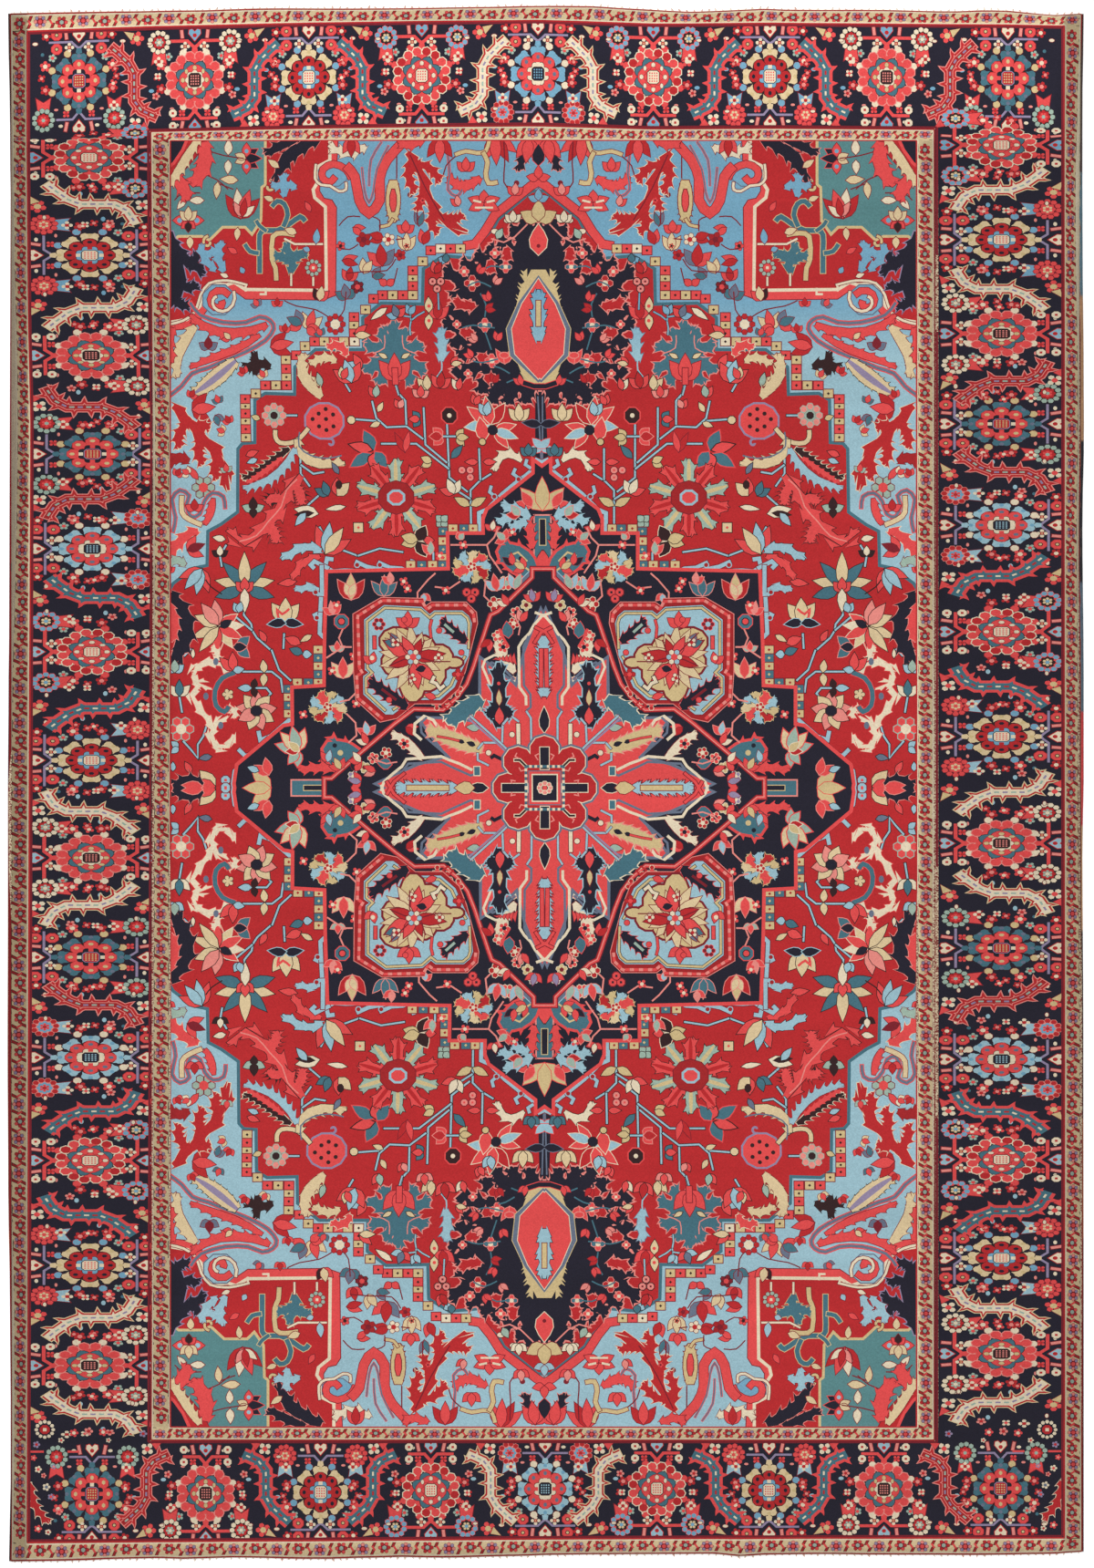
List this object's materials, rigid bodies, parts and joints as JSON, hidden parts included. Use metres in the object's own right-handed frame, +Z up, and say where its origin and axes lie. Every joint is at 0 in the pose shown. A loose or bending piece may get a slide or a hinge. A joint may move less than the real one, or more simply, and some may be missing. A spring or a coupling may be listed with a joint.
{
  "type": "hand-knotted wool rug",
  "caption": "Large flat hand-knotted wool rug with bound long edges and short fringed ends, patterned with a medallion, corner pieces and floral borders.",
  "frame": {"origin": "centre of the underside, on the floor", "axes": "+Z up, out of the pile; +Y along the rug's length; +X across its width"},
  "size_m": [3.4498, 5, 0.0105],
  "materials": {
    "wool_pile": "knotted wool pile, matte with a faint sheen, many vegetable dyes",
    "wool_binding": "overcast wool yarn in several colours along each side",
    "warp_ends": "undyed cotton warp ends"
  },
  "bodies": {
    "root": {"knotted_body": "wool_pile", "binding_left": "wool_binding", "binding_right": "wool_binding", "fringe_far": "warp_ends", "fringe_near": "warp_ends"}
  },
  "joints": []
}
